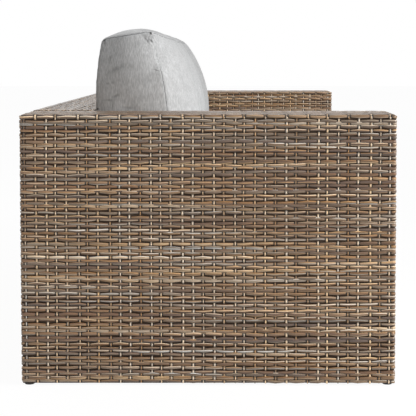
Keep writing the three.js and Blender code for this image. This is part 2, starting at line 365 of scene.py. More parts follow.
def shadeSheetMesh(name, cover, surface, cells, slots):
    # A thin dark sheet of painted shade behind the strands, standing in for the shadow in the weave's gaps,
    # over the span (low u, high u, low v, high v)
    mesh = meshOf(name, gridBox((cells, 1, 1)))
    share = (places3d(mesh) + 1) / 2
    u = cover[0] + (cover[1] - cover[0]) * share[:, 0]
    v = cover[2] + (cover[3] - cover[2]) * share[:, 1]
    movePlaces(mesh, np.stack(surface(u, v, shadeSheet["back"] + shadeSheet["thick"] * share[:, 2]), 1))
    across = inset((share[:, 1] + share[:, 2]) / 2, mapMargins["shadeSheet"])
    spots = np.stack([inset(share[:, 0], mapMargins["ends"]), (slots - 1 + across) / slots], 1)
    for title in ("strand", "OFBake"):
        addMap(mesh, title, spots[cornerPoints(mesh)])
    mesh.polygons.foreach_set("material_index", np.ones(len(mesh.polygons), int))
    return mesh


def strandTubes(name, groups, sides):
    # A tube along z for each strand, one metre from station to station, its group counted along y
    shape = bmesh.new()
    spare = bpy.data.meshes.new("spare")
    for order, group in enumerate(groups):
        count, stations = group["along"].shape
        tube = bmesh.new()
        bmesh.ops.create_cone(tube, cap_ends=True, segments=sides, radius1=1, radius2=1, depth=stations - 1)
        runs = [edge for edge in tube.edges if abs(edge.verts[0].co.z - edge.verts[1].co.z) > 0.5]
        if stations > 2:
            bmesh.ops.subdivide_edges(tube, edges=runs, cuts=stations - 2)
        bmesh.ops.translate(tube, verts=tube.verts, vec=(0, order * tubeSpread, (stations - 1) / 2))
        for _ in range(count):
            tube.to_mesh(spare)
            shape.from_mesh(spare)
            bmesh.ops.translate(tube, verts=tube.verts, vec=(tubeSpread, 0, 0))
        tube.free()
    bpy.data.meshes.remove(spare)
    return meshOf(name, shape)


def shareRound(look):
    # Share of the way round a strand at each corner of its section
    turns = np.linspace(0, 2 * math.pi, look["sides"] + 1)
    cosines = np.cos(turns).round(6)
    section = np.stack([np.sign(cosines) * np.abs(cosines) ** look["flatness"] * look["weaverWidth"],
                        np.sin(turns) * look["weaverThick"]], 1)
    share = np.concatenate([[0], np.cumsum(np.linalg.norm(np.diff(section, axis=0), axis=1))])
    return share / share[-1]


def strandPiece(name, look, groups, surface, materials, cover=None, coverSurface=None, cells=1):
    # The tubes flattened and laid on the surface, with a dark sheet of painted shade under them over the
    # cover's span
    sides = look["sides"]
    mesh = strandTubes(name, groups, sides)
    code = places3d(mesh)
    strandOf, groupOf = np.rint(code[:, :2] / tubeSpread).astype(int).T
    station = np.rint(code[:, 2]).astype(int)
    turn = np.arctan2(code[:, 0] - strandOf * tubeSpread, code[:, 1] - groupOf * tubeSpread)
    corner = np.rint(turn / (2 * math.pi / sides)).astype(int) % sides
    cosine, sine = np.cos(turn), np.sin(turn)
    across = np.sign(cosine) * np.abs(cosine).round(6) ** look["flatness"] / 2
    raised = sine / math.sin(2 * math.pi * round(sides / 4) / sides) / 2
    u, v, h, length, number, slot, dipShade = (np.empty(len(code)) for _ in range(7))
    slots = sum(len(group["along"]) for group in groups) + (cover is not None)
    firstSlot = 0
    for order, group in enumerate(groups):
        mine = groupOf == order
        strand = strandOf[mine]
        at = (strand, station[mine])
        lean = group["tilt"][strand]
        out, up = across[mine] * group["width"][at], raised[mine] * group["thick"]
        out, up = out * np.cos(lean) - up * np.sin(lean), out * np.sin(lean) + up * np.cos(lean)
        along, side = group["along"][at], group["side"][at] + out
        u[mine], v[mine] = (side, along) if group["upright"] else (along, side)
        h[mine] = group["height"][at] + up
        dipShade[mine] = group["dipShade"][at]
        length[mine] = along
        number[mine] = group["number"][strand]
        slot[mine] = firstSlot + strand
        firstSlot += len(group["along"])
    wander = sum(share * np.sin(rateV * v + rateU * u) for rateV, rateU, share in wanderWaves)
    sway = np.sin(swayWave[0] * u + swayWave[1] * v + swayWave[2])
    u, v = u + look["wander"] * wander, v + look["sway"] * sway
    movePlaces(mesh, np.stack(surface(u, v, h), 1))
    # how deep each point dips, which sets its painted shade
    addValues(mesh, "dipShade", dipShade)

    # The last face round each strand starts at the share before 1, so that no map runs backwards
    corners = cornerPoints(mesh)
    starts, totals = (integers(mesh.polygons, name) for name in ("loop_start", "loop_total"))
    face = np.repeat(np.arange(len(starts)), totals)
    turned = corner[corners]
    last = (np.maximum.reduceat(turned, starts) == sides - 1) & (totals == 4)
    turned = np.where(last[face] & (turned == 0), sides, turned)
    share = shareRound(look)[turned]
    endToEnd = (length[corners] - length.min()) / (length.max() - length.min())
    addMap(mesh, "strand", np.stack([
        length[corners], number[corners] + inset(share, mapMargins["strand"])], 1))
    addMap(mesh, "OFBake", np.stack([
        inset(endToEnd, mapMargins["ends"]), (slot[corners] + inset(share, mapMargins["slot"])) / slots], 1))
    whole = bmesh.new()
    whole.from_mesh(mesh)
    if cover is not None:
        backing = shadeSheetMesh(name + "_shade_sheet", cover, coverSurface or surface, cells, slots)
        whole.from_mesh(backing)
        bpy.data.meshes.remove(backing)
    bmesh.ops.recalc_face_normals(whole, faces=whole.faces)
    whole.to_mesh(mesh)
    whole.free()
    mesh.shade_smooth()
    for material in materials:
        mesh.materials.append(material)
    return addObject(name, mesh)


def strandFinish(name, look):
    finish = Finish(
        bpy.data.materials.new(name), Specular_IOR_Level=0.5, Coat_Weight=0.4, Coat_Roughness=0.28)
    along, coded, number = finish.strandPlace()
    around = coded - number
    upright = number.maths("GREATER_THAN", float(stakeNumbers))
    chance = finish.node("ShaderNodeTexWhiteNoise", {"noise_dimensions": "1D"}, {"W": number + 0.5})

    def strandNoise(title):
        alongScale, aroundScale, detail, offset, step = wickerNoise[title]
        spot = finish.node("ShaderNodeCombineXYZ", {}, {
            "X": along * alongScale, "Y": around * aroundScale, "Z": number * wickerNoise["apart"] + offset})
        noise = finish.noise(spot, 1.0, detail)
        return noise.step(*step) if step else noise

    drift, vein, streak = strandNoise("drift"), strandNoise("vein"), strandNoise("streak")
    fine, hue = strandNoise("fine"), strandNoise("hue")
    own = chance * (look["own"] + upright * (look["stakeOwn"] - look["own"]))
    pick = (own + look["base"] + upright * (look["stakeBase"] - look["base"])
            + (drift - 0.5) * (1 - upright * look["stakeDrift"]) * look["drift"]
            + (vein - look["veinMiddle"]) * (1 - upright * look["stakeVein"]) * look["vein"])
    colour = finish.node("ShaderNodeValToRGB", {"stops": look["strands"]}, {"Fac": pick.within()})
    coolness = hue * (1 - upright * look["stakeHue"])
    tint = finish.mix(coolness, (*look["warm"], 1), (*look["cool"], 1))
    colour = finish.mix(1.0, colour, tint, "MULTIPLY")
    # painted shade towards a weaver's lower edge for light from above, partly also a two-tone strand
    edge = (around + (chance - 0.5) * look["edgeShadeShift"]).step(*look["edgeShadeStep"]) * (1 - upright)
    shade = (look["bright"] - edge * look["edge"]) * (
        1 + (streak - 0.5) * look["streak"] + (fine - 0.5) * look["fine"])
    # painted shade where a strand dips under another
    dipShade = finish.attribute("dipShade")
    shade = shade.maths("MAXIMUM", look["leastShade"]) * (1 - (dipShade * dipShade).within() * look["dipShadeStrength"])
    finish.feed(finish.shader, {
        "Base Color": finish.darken(colour, shade),
        "Roughness": look["roughness"] + (fine - 0.5) * look["roughSpread"],
        "Normal": finish.bump(streak + fine * look["bumpFine"], look["bump"], look["bumpDepth"]),
    })
    return finish.owner


def shadeSheetFinish(name):
    # the colour of the dark sheet of painted shade behind the weave
    finish = Finish(bpy.data.materials.new(name), Roughness=0.9, Specular_IOR_Level=0.1)
    grain = finish.noise(finish.objectPlace(), shadeSheet["grain"])
    finish.feed(finish.shader, {"Base Color": finish.mix(grain, (*shadeSheet["dark"], 1), (*shadeSheet["light"], 1))})
    return finish.owner


def bothEnds(low, high, steps):
    return [*(low + steps), *(high - steps)]


def evenRows(low, high, pitch=wicker["rowPitch"]):
    count = round((high - low) / pitch)
    return low + (np.arange(count) + 0.5) * (high - low) / count


# the strands' finish, and the finish of the dark sheet of painted shade behind them
wovenMaterials = [strandFinish("wicker", wickerColours), shadeSheetFinish("wicker_shade_sheet")]
quarter = armSize["round"] * math.pi / 2
armFlat = [armSize["depth"] - 2 * armSize["round"], armSize["width"] - 2 * armSize["round"]]
bendSteps = np.array([0, 0.25, 0.5, 0.75, 1.0]) * quarter / 2  # stations from the middle of a corner
eighthTurn, quarterTurn = math.radians(45), math.radians(90)
stakeChance = np.random.default_rng(wicker["stakeSeed"])


def looseStakes(count, length):  # along one side, from corner middle to corner middle
    pitch = length / count
    return (np.arange(count) + 0.5) * pitch + stakeChance.uniform(-1, 1, count) * wicker["stakeJitter"]


def standFor(piece, node):
    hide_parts(node)
    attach(piece, "sofa_frame")


def weave(name, node, groups, surface, cover, coverSurface=None, cells=1):
    piece = strandPiece(name, wicker, groups, surface, wovenMaterials, cover, coverSurface, cells)
    standFor(piece, node)


def wovenArm(side, sign):
    # The outer face lies towards -x before the arm is turned to its own side
    radius, low, high = armSize["round"], armSize["low"], armSize["high"]
    halfY, halfX = armFlat[0] / 2, armFlat[1] / 2
    slant = radius * math.sqrt(0.5)
    path = tracePath((-halfX - slant, halfY + slant), 5 * eighthTurn, [
        (0, radius, eighthTurn), (armFlat[0], radius, quarterTurn), (armFlat[1], radius, quarterTurn),
        (armFlat[0], radius, quarterTurn), (armFlat[1], radius, eighthTurn)])

    def turned(x, y, z):
        return sign * (armSize["middle"] - x), -sign * y, z

    def belt(u, v, h):
        x, y = alongPath(path, u, h)
        return turned(x, y, v)

    def behind(u, v, h):  # the dark sheet of painted shade comes forward at the corners, where no stake is
        nearest = np.min([np.abs(u - place) for place in cornerPlaces], axis=0)
        return belt(u, v, h + shadeSheet["corner"] * np.exp(-(nearest / shadeSheet["cornerReach"]) ** 2))

    def slab(u, v, h):  # u towards the front, v towards the inner face
        overU, overV = u - np.clip(u, -halfY, halfY), v - np.clip(v, -halfX, halfX)
        over = np.maximum(np.hypot(overU, overV), 1e-9)
        lean = over / radius
        reach = (radius + h) * np.sin(lean) / over
        forward = u - overU + reach * overU
        return turned(v - overV + reach * overV, -forward, high - radius + (radius + h) * np.cos(lean))

    rows = evenRows(low, high - radius + armSize["overlap"])
    longRun, shortRun = armFlat[0] + quarter, armFlat[1] + quarter
    cornerPlaces = np.cumsum([0, longRun, shortRun, longRun, shortRun])
    longStakes = looseStakes(armSize["longStakes"], longRun)
    shortStakes = looseStakes(armSize["shortStakes"], shortRun)
    nodes = ["outer", "front", "inner", "rear"] if sign < 0 else ["outer", "rear", "inner", "front"]
    start, firstStake = 0.0, 0
    for order, node in enumerate(nodes):
        run = [longRun, shortRun][order % 2]
        own = [longStakes, shortStakes][order % 2]
        own = run - own[::-1] if order > 1 else own
        groups = strandGroups(
            wicker, rows, start + own, (start, start + run), (low + stakeMargin, high - radius),
            *strandCodes[side], rowBends=bothEnds(start, start + run, bendSteps[1:]), firstStake=firstStake)
        weave(f"{side}_arm_{node}_wicker", f"{side}_arm_{node}_weave", groups, belt,
              (start, start + run, low, shadeSheet["top"]), behind, round(run / shadeSheet["cell"]))
        start, firstStake = start + run, firstStake + len(own)

    topHalf = shortRun / 2
    rowHalf = topHalf - armSize["topMargin"]
    reach, stakeReach = longRun / 2, topHalf + quarter / 2
    groups = strandGroups(
        wicker, evenRows(-rowHalf, rowHalf), longStakes - reach, (-reach, reach), (-stakeReach, stakeReach),
        *strandCodes[side + "Top"], rowBends=bothEnds(-reach, reach, bendSteps * 2),
        stakeBends=bothEnds(-stakeReach, stakeReach, bendSteps * 2))
    flatEnd = halfY - armSize["flatShort"]
    shortest = armSize["leastReach"] * quarter
    for group in groups:  # near a corner the outermost rows end sooner
        if not group["upright"]:
            over = np.maximum(np.abs(group["side"]) - halfX, 0)
            reachHere = halfY + np.sqrt(np.maximum(quarter ** 2 - over ** 2, shortest ** 2))
            beyond = np.maximum(np.abs(group["along"]) - flatEnd, 0)
            less = 1 - (reachHere - flatEnd) / (reach - flatEnd)
            group["along"] -= np.sign(group["along"]) * beyond * less
    coverY, coverX = halfY + shadeSheet["past"], halfX + shadeSheet["past"]
    weave(f"{side}_arm_top_wicker", f"{side}_arm_top_weave", groups, slab,
          (-coverY, coverY, -coverX, coverX), lambda u, v, h: turned(v, -u, high + h))


def wovenBack():
    radius, low, high, half = backSize["round"], armSize["low"], backSize["high"], backSize["half"]
    stakes = looseStakes(backSize["stakes"], 2 * half) - half
    flat = backSize["rear"] - backSize["front"] - 2 * radius
    top = tracePath((backSize["rear"], high - radius), quarterTurn, [
        (0, radius, quarterTurn), (flat, radius, quarterTurn)])

    def rear(u, v, h):
        return u, backSize["rear"] + h, v

    def front(u, v, h):
        return u, backSize["front"] - h, v

    def over(u, v, h):
        y, z = alongPath(top, v, h)
        return u, y, z

    groups = strandGroups(
        wicker, evenRows(low, high - radius), stakes, (-half, half),
        (low + stakeMargin, high - radius), *strandCodes["backRear"])
    weavers = [group for group in groups if not group["upright"]]
    uprights = [group for group in groups if group["upright"]]
    cover = (-half, half, low, shadeSheet["top"])
    for title, chosen, sheet in (("weavers", weavers, cover), ("stakes", uprights, None)):
        weave(f"back_rear_{title}", "back_rear_weave", chosen, rear, sheet)

    turn = radius * quarterTurn
    run = flat + 2 * turn
    groups = strandGroups(
        wicker, evenRows(0, run), stakes, (-half, half), (0, run), *strandCodes["backTop"],
        stakeBends=bothEnds(0, run, bendSteps * 2 * turn / quarter))
    middle = (backSize["front"] + backSize["rear"]) / 2
    coverHalf = flat / 2 + shadeSheet["past"]
    weave("back_top_wicker", "back_top_weave", groups, over,
          (-half, half, -coverHalf, coverHalf), lambda u, v, h: (u, middle + v, high + h))

    rows = evenRows(backSize["frontLow"], high - radius)
    groups = strandGroups(
        wicker, rows, stakes, (-half, half), (backSize["frontLow"] + stakeMargin, high - radius),
        *strandCodes["backFront"])
    weave("back_front_wicker", "back_front_weave", groups, front,
          (-half, half, backSize["frontLow"], shadeSheet["top"]))


def wovenApron():
    radius, low, high, half = armSize["round"], armSize["low"], apronSize["high"], backSize["half"]
    stakes = looseStakes(backSize["stakes"], 2 * half) - half
    back = apronSize["edge"] - apronSize["face"] - radius
    rise = high - radius - low
    # Traced from the return's edge over the top and down the face, so that outwards is on the right
    fold = tracePath((apronSize["edge"], high), 2 * quarterTurn, [
        (back, radius, quarterTurn), (rise, radius, 0.0)])

    def face(u, v, h):
        y, z = alongPath(fold, v, h)
        return u, y, z

    run = back + quarter + rise
    groups = strandGroups(
        wicker, evenRows(0, run), stakes, (-half, half), (stakeMargin, run - stakeMargin),
        *strandCodes["apron"], stakeBends=back + bendSteps * 2)
    weave("front_apron_wicker", "front_apron_weave", groups, face,
          (-half, half, low, high - radius), lambda u, v, h: (u, apronSize["face"] - h, v))


wovenArm("left", -1)
wovenArm("right", 1)
wovenBack()
wovenApron()
print("wicker woven")

# Webbing deck

deckStraps = {
    "weaverWidth": 0.04, "weaverThick": 0.0014, "stakeWidth": 0.04, "stakeThick": 0.0014,
    "widths": (0.99, 1.01), "stakeWidths": (1.0, 1.0), "shares": (1.0, 1.0, 1.0), "pitch": 0.0495,
    "sides": 6, "flatness": 0.12, "dipHalf": 0.021, "dipTop": 0.0245,
    "dipHeight": -0.0032, "slopeHeight": -0.0013, "crestHeight": -0.0012,
    "stakeHigh": -0.0016, "stakeLow": -0.0032, "stakeDipShade": 0.0,
    "rowJitter": 0.0008, "liftJitter": 0.0, "tilt": 0.0, "wave": 0.0003, "wander": 0.0004, "sway": 0.0,
    "rowMargin": 0.002, "endMargin": 0.001,
    "ribs": 300.0, "picks": 2600.0, "fluff": (160.0, 40.0),
    "ribShare": 0.6, "weaveShare": 0.6, "fluffShare": 0.5,
    "dark": (0.02, 0.018, 0.016), "light": (0.075, 0.068, 0.06),
}


def webbingFinish(name):
    look = deckStraps
    finish = Finish(bpy.data.materials.new(name), Roughness=0.85, Specular_IOR_Level=0.25)
    along, coded, number = finish.strandPlace()
    around = coded - number
    ribs = (around * look["ribs"]).maths("SINE") * 0.5 + 0.5
    picks = (along * look["picks"]).maths("SINE") * 0.5 + 0.5
    weave = ribs * look["ribShare"] + picks * (1 - look["ribShare"])
    spot = finish.node(
        "ShaderNodeCombineXYZ", {}, {"X": along * look["fluff"][0], "Y": coded * look["fluff"][1]})
    fluff = finish.noise(spot, 1.0, 3.0)
    tone = (weave * look["weaveShare"] + fluff * look["fluffShare"]).within()
    finish.feed(finish.shader, {
        "Base Color": finish.mix(tone, (*look["dark"], 1), (*look["light"], 1)),
        "Normal": finish.bump(weave, 0.5, 0.0004),
    })
    return finish.owner


def webbingDeck():
    low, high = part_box("seat_deck_webbing")
    margin, ends = deckStraps["rowMargin"], deckStraps["endMargin"]
    rows = evenRows(low.y + margin, high.y - margin, deckStraps["pitch"])
    stakes = evenRows(low.x + margin, high.x - margin, deckStraps["pitch"])
    groups = strandGroups(
        deckStraps, rows, stakes, (low.x + ends, high.x - ends), (low.y + ends, high.y - ends),
        *strandCodes["deck"])

    def deck(u, v, h):
        return u, v, high.z + h

    piece = strandPiece("seat_deck_straps", deckStraps, groups, deck, [webbingFinish("webbing")])
    standFor(piece, "seat_deck_webbing")


webbingDeck()
print("deck strapped")

# Cushions

fabric = {
    "light": (0.64, 0.645, 0.648), "dark": (0.4, 0.405, 0.408), "seamDark": 0.65,
    "slub": (560.0, 560.0, 80.0), "slubStep": (0.36, 0.66), "slubShare": 0.75, "thread": 1300.0,
    "patch": 38.0, "patchStep": (0.25, 0.75), "patchLow": 0.92, "patchSpread": 0.16,
    "stitch": (0.0006, 0.0022),  # distances from a seam, of its dark line's core and its end
    "roughness": 0.92, "roughSpread": 0.08, "bump": 0.25, "bumpDepth": 0.0006, "bumpSlubs": 0.7,
    "foldDepth": 3.0, "foldEdge": 1.5, "leastShade": 0.05,
    "paintedCreases": [  # painted shade of creases on an end face, with painted shadows at its corner and foot and a painted highlight where the darkness is below 0: y and z, turn in degrees, half length, half width, darkness
        (0.1458, 0.8405, 0, 0.006, 0.0046, 1.6), (0.1552, 0.8188, 47, 0.0125, 0.0028, 0.55),
        (0.1469, 0.8201, 40, 0.0075, 0.0026, 0.65), (0.149, 0.8141, 40, 0.0075, 0.0024, -0.4),
        (0.1633, 0.8314, 49, 0.011, 0.0054, 0.3), (0.1334, 0.7462, 15, 0.008, 0.0017, 0.5),
        (0.2655, 0.8225, 0, 0.0045, 0.0036, 0.85), (0.264, 0.814, 90, 0.0065, 0.0022, 0.45),
        (0.2479, 0.778, 118, 0.01, 0.004, 0.28), (0.2306, 0.7514, 155, 0.022, 0.0056, 0.24),
        (0.2567, 0.7128, 0, 0.005, 0.0032, 0.32), (0.2432, 0.7141, 60, 0.0042, 0.0032, 0.26),
        (0.2351, 0.682, 159, 0.0105, 0.0038, 0.36), (0.2542, 0.6712, 0, 0.01, 0.0036, 0.34),
        (0.2432, 0.6624, 90, 0.02, 0.0022, 0.24), (0.2042, 0.6522, 5, 0.016, 0.0038, 0.28),
        (0.2855, 0.6485, 0, 0.0062, 0.003, 1.1),
    ],
}
backCushion = {
    "width": 0.575, "rear": 0.2927, "base": 0.4446, "height": 0.3805, "extent": (0.575, 0.22, 0.39),
    "rise": 0.0215, "crown": 0.022, "rearCrown": 0.011, "frontFall": 0.0065,  # of the top
    "foot": 0.196, "head": 0.1495, "headPower": 2.4, "bulge": 0.084, "bulgeSpan": (0.24, 0.6),  # thickness
    "endRound": 0.014, "endRidge": 0.3, "softEdge": 0.005, "sag": 0.011,
    "cornerReach": 0.04, "cornerSoft": 0.007, "cornerFrom": 0.45, "cornerOver": 0.2, "cornerTop": 0.09,
    "lean": 0.006, "headLean": 0.013, "headFrom": 0.68, "leanPower": 1.4,
    "cell": 0.008, "startShare": 0.9, "pressure": 2.0, "cap": 0.008, "fill": 0.75,
}
seatCushion = {
    "width": 0.575, "front": -0.429, "rear": 0.2927, "base": 0.3053, "extent": (0.575, 0.7217, 0.13),
    "thick": 0.125, "crown": 0.014, "drawIn": 0.009, "softEdge": 0.026, "frontRoom": 0.004,
    "cell": 0.0105, "pressure": 2.0, "cap": 0.008, "fill": 0.85,
}
seatPlaces = {"left": -0.58, "middle": 0.0, "right": 0.58}
clothLook = {
    "quality": 5, "mass": 0.3, "time_scale": 1.0, "tension_stiffness": 12, "compression_stiffness": 12,
    "shear_stiffness": 4, "bending_stiffness": 0.4, "use_pressure": True,
}
clothFrames = 20
onFace = 0.999  # of a box from -1 to 1


def hump(value):
    return 1 - value * value


def softEdge(value, other, share=0.3):
    near = np.maximum(0, (np.abs(value) - 1 + share) / share)
    far = np.maximum(0, (np.abs(other) - 1 + share) / share)
    return near ** 2 * far ** 2


def backForm(grid, full):
    across, back, up = grid.T
    look = backCushion
    rise, depth = (up + 1) / 2, (1 - back) / 2
    endThick = look["foot"] + (look["head"] - look["foot"]) * rise ** look["headPower"]
    bulgeFrom, bulgeOver = look["bulgeSpan"]
    bulge = full * look["bulge"] * hump(across) * np.sin(math.pi * (bulgeFrom + bulgeOver * rise))
    crown = (look["crown"] * hump(back) + look["rearCrown"] - look["rise"] * depth
             - look["frontFall"] * np.maximum(0, -back) ** 1.5)
    height = (look["height"] + look["rise"] * depth
              + full * hump(across) * crown * np.maximum(0, rise - 0.5) * 2)
    head = np.maximum(0, (rise - look["headFrom"]) / (1 - look["headFrom"])) ** look["leanPower"]
    shift = (1 - depth) * (look["lean"] + look["headLean"] * head)
    ridge = look["endRidge"]  # the end face is like a soft roof, with its ridge upright
    roof = (np.sqrt(back ** 2 + ridge ** 2) - ridge) / (math.sqrt(1 + ridge ** 2) - ridge)
    drawIn = look["endRound"] * (roof + 0.5 * np.maximum(up, 0) ** 4) * np.abs(across) ** 3
    edge = look["softEdge"] * softEdge(np.maximum(up, 0), back)
    sag = look["sag"] * (1 - hump(across)) * (1 - rise) ** 3  # the foot settles on the seat's crown
    besideEnd, besideFront = (1 - np.abs(across)) * look["width"] / 2, (1 + back) * endThick / 2
    corner = (np.maximum(0, 1 - besideEnd / look["cornerReach"])
              * np.maximum(0, 1 - besideFront / look["cornerReach"])
              * np.clip((up - look["cornerFrom"]) / look["cornerOver"], 0, 1)
              * np.clip((1 - up) / look["cornerTop"], 0, 1)) * look["cornerSoft"]
    return np.stack([
        across * (look["width"] / 2 - drawIn) - np.sign(across) * corner,
        look["rear"] - shift - depth * (endThick + bulge) - np.sign(back) * edge / 2 + corner,
        look["base"] - sag + rise * height - edge * 0.5], 1)


def seatForm(grid):
    across, back, up = grid.T
    look = seatCushion
    rise = look["crown"] * hump(across) * (1 - back ** 4)
    sides = look["drawIn"] * hump(back) * up ** 2 * np.abs(across) ** 3
    edge = look["softEdge"] * softEdge(np.minimum(back, 0), up)
    middle, half = (look["front"] + look["rear"]) / 2, (look["rear"] - look["front"]) / 2
    return np.stack([
        across * (look["width"] / 2 - sides), middle + back * half + edge,
        look["base"] + (up + 1) / 2 * (look["thick"] + rise - edge / 2)], 1)


def holdAcross(points, look):
    half = look["width"] / 2
    points[:, 0] = np.clip(points[:, 0], -half, half)
    return points[:, 0] / half


def holdBack(points):
    look = backCushion
    across = holdAcross(points, look)
    points[:, 1] = np.minimum(points[:, 1], look["rear"])
    points[:, 2] = np.maximum(points[:, 2], look["base"] - look["sag"] * across ** 2)
    return points


def holdSeat(points):
    look = seatCushion
    across = holdAcross(points, look)
    points[:, 1] = np.clip(points[:, 1], look["front"] - look["frontRoom"], look["rear"])
    top = look["base"] + look["thick"] + look["crown"] * hump(across)
    points[:, 2] = np.clip(points[:, 2], look["base"], top)
    return points


def inflate(piece, look, hold, sewn):
    # Cloth under pressure, held at its seams, then each point kept near its start and in the cushion's room
    start = places3d(piece.data)
    seams = piece.vertex_groups.new(name="seams")
    seams.add(sewn, 1.0, "REPLACE")
    cloth = piece.modifiers.new("cloth", "CLOTH")
    for name, value in clothLook.items():
        setattr(cloth.settings, name, value)
    cloth.settings.vertex_group_mass = seams.name
    cloth.settings.uniform_pressure_force = look["pressure"]
    cloth.settings.effector_weights.gravity = 0
    cloth.point_cache.frame_start = 1
    cloth.point_cache.frame_end = clothFrames
    for step in range(1, clothFrames + 1):
        scene.frame_set(step)
    found = places3d(evaluated(piece).data)
    piece.modifiers.remove(cloth)
    piece.vertex_groups.remove(seams)
    scene.frame_set(1)
    moved = found - start
    far = np.linalg.norm(moved, axis=1, keepdims=True)
    moved *= np.minimum(1, look["cap"] / np.maximum(far, 1e-9))
    movePlaces(piece.data, hold(start + moved))


def cushionPiece(name, look, form, hold):
    mesh = meshOf(name, gridBox([round(length / look["cell"]) for length in look["extent"]]))
    grid = places3d(mesh)
    mesh.attributes.new("grid", "FLOAT_VECTOR", "POINT").data.foreach_set(
        "vector", grid.astype(np.float32).ravel())
    movePlaces(mesh, form(grid))
    piece = addObject(name, mesh)
    inflate(piece, look, hold, np.nonzero((np.abs(grid) > onFace).sum(axis=1) > 1)[0].tolist())
    return piece


sewing = {
    "seed": 61, "groove": 0.0018, "grooveWidth": 0.004,
    "gather": 0.0005, "gatherReach": 0.014, "gatherWaves": ((230, 1.0), (410, 0.7), (97, 0.5)),
    "pucker": 0.0026, "rearPucker": 0.5, "puckerFolds": 11, "puckerFrom": 0.016, "puckerReach": 0.015,
    "dent": 0.0016, "dents": 12, "dentSpread": 0.75, "dentSize": (0.07, 0.03),
    "hidden": 0.004, "hiddenFrom": 0.5, "hiddenOver": 0.15,  # of a front seam, in the upper corner's folds
}


def sewnDetails(seed, size):
    # Grooves at the seams, small gathers beside them, puckers at the upper corners, and soft dents
    chance = np.random.default_rng(seed)
    waves = chance.uniform(0, 2 * math.pi, 4)
    half = np.array(size) / 2
    spread = sewing["dentSpread"]
    dents = [(chance.uniform(-spread, spread, 3) * half, chance.uniform(0, math.pi), chance.uniform(0.5, 1.0))
             for _ in range(sewing["dents"])]

    def details(grid, seam):
        spot = grid * half
        shape = -sewing["groove"] * np.exp(-(seam / sewing["grooveWidth"]) ** 2)
        run = spot.sum(axis=1)
        gathers = sum(share * np.sin(run * rate + wave)
                      for (rate, share), wave in zip(sewing["gatherWaves"], waves))
        shape += sewing["gather"] * np.exp(-seam / sewing["gatherReach"]) * gathers
        for side in (-1, 1):
            for face in (-1, 1):
                away = spot - np.array([side, face, 1]) * half
                ring = (np.linalg.norm(away, axis=1) - sewing["puckerFrom"]) / sewing["puckerReach"]
                turn = np.arctan2(-away[:, 2], -face * away[:, 1] - side * away[:, 0])
                strength = sewing["pucker"] * (1.0 if face < 0 else sewing["rearPucker"])
                folds = np.sin(sewing["puckerFolds"] * turn + waves[3] + side)
                shape += strength * np.exp(-ring ** 2) * folds
        long, wide = sewing["dentSize"]
        for place, turned, depth in dents:
            away = spot - place
            first = away @ np.array([math.cos(turned), math.sin(turned), 0.3])
            second = away @ np.array([-math.sin(turned), math.cos(turned), 0.7])
            shape -= sewing["dent"] * depth * np.exp(-(first / long) ** 2 - (second / wide) ** 2)
        return shape

    return details


def finishCushion(piece, size, details, material):
    smooth = piece.modifiers.new("smooth", "SUBSURF")
    smooth.levels = 1
    smooth.render_levels = 1
    bpy.context.view_layer.update()
    fine = bpy.data.meshes.new_from_object(evaluated(piece))
    piece.modifiers.remove(smooth)
    old = piece.data
    piece.data = fine
    bpy.data.meshes.remove(old)
    fine.name = piece.name
    grid = vectors(fine.attributes["grid"].data, "vector")
    normals = vectors(fine.vertices, "normal")
    reach = (1 - np.abs(grid)) * np.array(size) / 2  # distance from each point to each pair of faces
    seam = np.sort(reach, axis=1)[:, 1]
    moved = normals * details(grid, seam)[:, None]
    under = grid[:, 2] < -onFace
    moved[under, 2] = np.maximum(moved[under, 2], 0)  # the underside stays clear of what carries it
    movePlaces(fine, places3d(fine) + moved)
    standing = (grid[:, 1] < 0) & (reach[:, 2] > np.maximum(reach[:, 0], reach[:, 1]))
    high = np.clip((grid[:, 2] - sewing["hiddenFrom"]) / sewing["hiddenOver"], 0, 1)
    addValues(fine, "seam", seam + standing * sewing["hidden"] * high)
    addValues(fine, "end", np.abs(grid[:, 0]) > onFace)
    fine.attributes.remove(fine.attributes["grid"])
    fine.shade_smooth()
    fine.materials.append(material)


def fabricFinish(name, slub, paintedCreases=()):
    finish = Finish(
        bpy.data.materials.new(name), Specular_IOR_Level=0.2, Sheen_Weight=0.32, Sheen_Roughness=0.3)
    spot = finish.objectPlace()
    stretched = finish.node("ShaderNodeVectorMath", {"operation": "MULTIPLY"}, {0: spot, 1: slub})
    slubs = finish.noise(stretched, 1.0, 3.0, 0.6)
    threads = finish.noise(spot, fabric["thread"], 1.0)
    patches = finish.noise(spot, fabric["patch"], 3.0, 0.6).step(*fabric["patchStep"])
    heather = (slubs.step(*fabric["slubStep"]) * fabric["slubShare"]
               + threads * (1 - fabric["slubShare"])).within()
    stitched = 1 - finish.attribute("seam").step(*fabric["stitch"])
    folds = 0
    # painted shade along the end face's creases and painted shadows at its corner marks, with the bump from
    # the same sum
    for y, z, degrees, length, width, dark in paintedCreases:
        near = finish.node("ShaderNodeMapping", {"vector_type": "TEXTURE"}, {
            "Vector": spot, "Location": (0, y, z), "Rotation": (math.radians(degrees), 0, 0),
            "Scale": (1000, length, width)})
        away = finish.node("ShaderNodeVectorMath", {"operation": "LENGTH"}, {0: near}, out=1)
        folds = folds + away.step(fabric["foldEdge"], 0.0) * dark
    folds = finish.attribute("end") * folds
    shade = ((1 - stitched * fabric["seamDark"]) * (fabric["patchLow"] + patches * fabric["patchSpread"])
             * (1 - folds).maths("MAXIMUM", fabric["leastShade"]))
    cloth = finish.mix(heather, (*fabric["dark"], 1), (*fabric["light"], 1))
    relief = slubs * fabric["bumpSlubs"] + threads * (1 - fabric["bumpSlubs"]) - folds * fabric["foldDepth"]
    finish.feed(finish.shader, {
        "Base Color": finish.darken(cloth, shade),
        "Roughness": fabric["roughness"] - slubs * fabric["roughSpread"],
        "Normal": finish.bump(relief, fabric["bump"], fabric["bumpDepth"]),
    })
    return finish.owner


